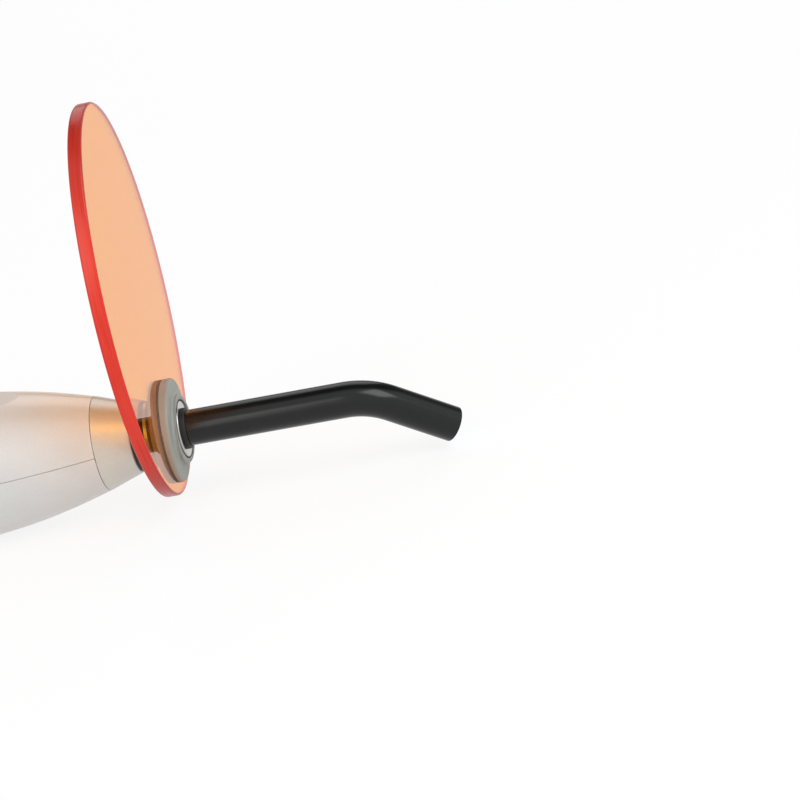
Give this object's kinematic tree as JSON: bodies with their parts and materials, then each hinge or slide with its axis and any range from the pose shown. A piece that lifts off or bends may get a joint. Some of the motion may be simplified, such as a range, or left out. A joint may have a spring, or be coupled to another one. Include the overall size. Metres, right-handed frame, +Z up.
{
  "type": "dental curing light",
  "caption": "Cordless pen-shaped dental curing light with a bent plug-in light guide, an oval orange eye shield on a rubber grommet, and keys on top.",
  "frame": {"origin": "middle of the footprint box, on the table that the belly pad rests on", "axes": "+X along the straight part of the light guide, towards its tip; +Z up, through the control face; +Y completes the frame"},
  "size_m": [0.2446, 0.0634, 0.0926],
  "materials": {
    "pearl_plastic": "pearl gloss",
    "nose_metal": "satin anodised",
    "guide_sheath": "polished black",
    "fibre_glass": "polished fibre bundle, lit blue",
    "ferrule_steel": "satin turned",
    "black_rubber": "matt",
    "grey_rubber": "soft matt",
    "orange_acrylic": "clear tinted, polished edge",
    "lens_glass": "clear",
    "led_ceramic": "phosphor and ceramic",
    "sink_aluminium": "bare machined",
    "board_green": "solder mask",
    "screw_steel": "bright",
    "contact_gold": "gold plated",
    "cell_wrap": "shrink wrapped can",
    "black_plastic": "moulded",
    "panel_grey": "textured film",
    "key_blue": "satin moulded",
    "key_grey": "satin moulded",
    "smoked_window": "smoked, glossy",
    "indicator_clear": "frosted clear",
    "wire_red": "insulation"
  },
  "bodies": {
    "handle": {"nose_ring": "nose_metal", "nose_seal": "black_rubber", "led_lens": "lens_glass", "lens_retainer": "black_plastic", "led_emitter": "led_ceramic", "led_board": "sink_aluminium", "led_screws": "screw_steel", "heat_sink": "sink_aluminium", "upper_shell": "pearl_plastic", "lower_shell": "pearl_plastic", "rest_pad": "grey_rubber", "case_screws": "screw_steel", "rear_cap": "panel_grey", "charge_contacts": "contact_gold", "control_panel": "panel_grey", "switch_bodies": "black_plastic", "display_window": "smoked_window", "display_module": "black_plastic", "indicator_pipes": "indicator_clear", "indicator_leds": "led_ceramic", "control_board": "board_green", "board_screws": "screw_steel", "board_chips": "black_plastic", "buzzer": "black_plastic", "led_wires": "wire_red", "battery_cell": "cell_wrap", "battery_cradle": "black_plastic", "battery_contacts": "contact_gold", "battery_wires": "wire_red"},
    "swivel": {"swivel_sleeve": "black_plastic"},
    "guide": {"guide_rod": "guide_sheath", "guide_core": "fibre_glass", "guide_ferrule": "ferrule_steel", "guide_o_rings": "black_rubber", "ferrule_collar": "ferrule_steel", "rod_lip": "black_rubber"},
    "shield": {"eye_shield": "orange_acrylic", "shield_grommet": "grey_rubber"},
    "start_key": {"start_button": "key_blue", "start_plunger": "black_plastic"},
    "mode_key": {"mode_button": "key_grey", "mode_plunger": "black_plastic"},
    "timer_key": {"timer_button": "key_grey", "timer_plunger": "black_plastic"}
  },
  "joints": [
    {"name": "guide_turn", "type": "hinge", "parent": "handle", "child": "swivel", "pos_m": [0.04283, 0, 0.0168], "axis": [1, 0, 0], "continuous": true},
    {"name": "guide_pull", "type": "slide", "parent": "swivel", "child": "guide", "axis": [1, 0, 0], "range_m": [0, 0.018]},
    {"name": "shield_turn", "type": "hinge", "parent": "guide", "child": "shield", "pos_m": [0.05733, 0, 0.0168], "axis": [1, 0, 0], "continuous": true},
    {"name": "start_press", "type": "slide", "parent": "handle", "child": "start_key", "axis": [0, 0, -1], "range_m": [0, 0.0007], "stiffness_N_per_m": 1500, "springref_m": -0.0003},
    {"name": "mode_press", "type": "slide", "parent": "handle", "child": "mode_key", "axis": [0, 0, -1], "range_m": [0, 0.0007], "stiffness_N_per_m": 1500, "springref_m": -0.0003},
    {"name": "timer_press", "type": "slide", "parent": "handle", "child": "timer_key", "axis": [0, 0, -1], "range_m": [0, 0.0007], "stiffness_N_per_m": 1500, "springref_m": -0.0003}
  ]
}
